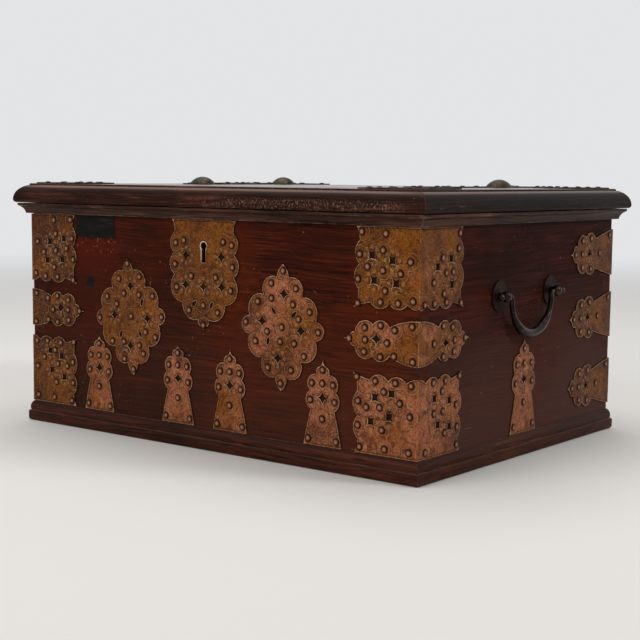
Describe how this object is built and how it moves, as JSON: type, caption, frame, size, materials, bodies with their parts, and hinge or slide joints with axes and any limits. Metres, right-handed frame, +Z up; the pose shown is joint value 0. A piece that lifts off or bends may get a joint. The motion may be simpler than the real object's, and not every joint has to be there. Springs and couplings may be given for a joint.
{
  "type": "storage box",
  "caption": "Low wooden storage box with a hinged moulded lid, a box lock, drop handles on its sides and pierced, lobed brass mounts held by round-headed nails.",
  "frame": {"origin": "centre of the underside, on the floor", "axes": "+X to the right along the front, +Y to the back, +Z up; the front faces -Y"},
  "size_m": [0.494, 0.367, 0.2472],
  "materials": {
    "carcass_wood": "satin, old polish",
    "repair_wood": "satin",
    "moulding_wood": "satin, rubbed at the edges",
    "lid_wood": "satin, old polish",
    "mount_brass": "aged, dull",
    "nail_brass": "aged, dull",
    "dome_bronze": "dark patina",
    "lock_iron": "dull",
    "spring_steel": "dull",
    "hinge_iron": "dull",
    "handle_iron": "worn, dark"
  },
  "bodies": {
    "carcass": {"front_board": "carcass_wood", "back_board": "carcass_wood", "left_board": "carcass_wood", "right_board": "carcass_wood", "bottom_board": "carcass_wood", "front_repairs": "repair_wood", "plinth_front": "moulding_wood", "plinth_back": "moulding_wood", "plinth_left": "moulding_wood", "plinth_right": "moulding_wood", "rim_moulding_front": "moulding_wood", "rim_moulding_back": "moulding_wood", "rim_moulding_left": "moulding_wood", "rim_moulding_right": "moulding_wood", "lock_plate": "mount_brass", "medallion_left": "mount_brass", "medallion_right": "mount_brass", "foot_straps_front": "mount_brass", "foot_strap_left": "mount_brass", "foot_strap_right": "mount_brass", "corner_plate_left_top": "mount_brass", "corner_plate_left_middle": "mount_brass", "corner_plate_left_bottom": "mount_brass", "corner_plate_right_top": "mount_brass", "corner_plate_right_middle": "mount_brass", "corner_plate_right_bottom": "mount_brass", "back_straps_left": "mount_brass", "back_straps_right": "mount_brass", "front_nails": "nail_brass", "back_nails": "nail_brass", "left_nails": "nail_brass", "right_nails": "nail_brass", "lock_case": "lock_iron", "lock_cap": "lock_iron", "lock_spring": "spring_steel", "lock_screws": "lock_iron", "hinge_leaf_box_left": "hinge_iron", "hinge_leaf_box_right": "hinge_iron", "hinge_pin_left": "hinge_iron", "hinge_pin_right": "hinge_iron", "hinge_screws": "hinge_iron", "handle_posts": "handle_iron", "handle_roses": "handle_iron", "handle_washers": "handle_iron"},
    "lid": {"lid_panel": "lid_wood", "lid_moulding_front": "moulding_wood", "lid_moulding_back": "moulding_wood", "lid_moulding_left": "moulding_wood", "lid_moulding_right": "moulding_wood", "hinge_leaf_lid_left": "hinge_iron", "hinge_leaf_lid_right": "hinge_iron", "lid_screws": "hinge_iron", "lid_staple": "lock_iron", "lid_corner_plates": "mount_brass", "lid_straps": "mount_brass", "lid_domes": "dome_bronze", "lid_nails": "nail_brass"},
    "left_bail": {"bail_left": "handle_iron"},
    "right_bail": {"bail_right": "handle_iron"},
    "bolt": {"lock_bolt": "lock_iron"}
  },
  "joints": [
    {"name": "lid_hinge", "type": "hinge", "parent": "carcass", "child": "lid", "pos_m": [0, 0.181, 0.21995], "axis": [-1, 0, 0], "range_deg": [0, 100]},
    {"name": "left_bail_swing", "type": "hinge", "parent": "carcass", "child": "left_bail", "pos_m": [-0.2405, 0, 0.1465], "axis": [0, 1, 0], "range_deg": [-3, 183]},
    {"name": "right_bail_swing", "type": "hinge", "parent": "carcass", "child": "right_bail", "pos_m": [0.2405, 0, 0.1465], "axis": [0, -1, 0], "range_deg": [-3, 183]},
    {"name": "bolt_slide", "type": "slide", "parent": "carcass", "child": "bolt", "axis": [1, 0, 0], "range_m": [0, 0.01]}
  ]
}
